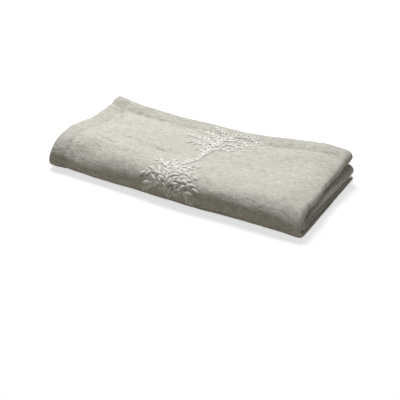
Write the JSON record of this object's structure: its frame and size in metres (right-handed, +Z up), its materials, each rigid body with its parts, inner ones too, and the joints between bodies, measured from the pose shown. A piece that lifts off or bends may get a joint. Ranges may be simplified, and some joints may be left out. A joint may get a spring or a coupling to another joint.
{
  "type": "cloth napkin",
  "caption": "Hemmed square linen table napkin, folded three times to an oblong pad and lying flat, with a white embroidered leafy sprig across it.",
  "frame": {"origin": "middle of the folded napkin's footprint, on the surface it lies on", "axes": "+Z up; +X along the long front roll, towards the folded end; +Y from the front roll to the loose hems"},
  "size_m": [0.249, 0.1274, 0.0283],
  "materials": {
    "linen_cloth": "undyed plain-weave washed linen, greige, matt, with uneven threads",
    "sewing_thread": "matt thread of the cloth's own colour, in the hem stitching",
    "embroidery_thread": "off-white cotton embroidery thread with a soft gloss"
  },
  "bodies": {
    "root": {"napkin_cloth": "linen_cloth"}
  },
  "joints": []
}
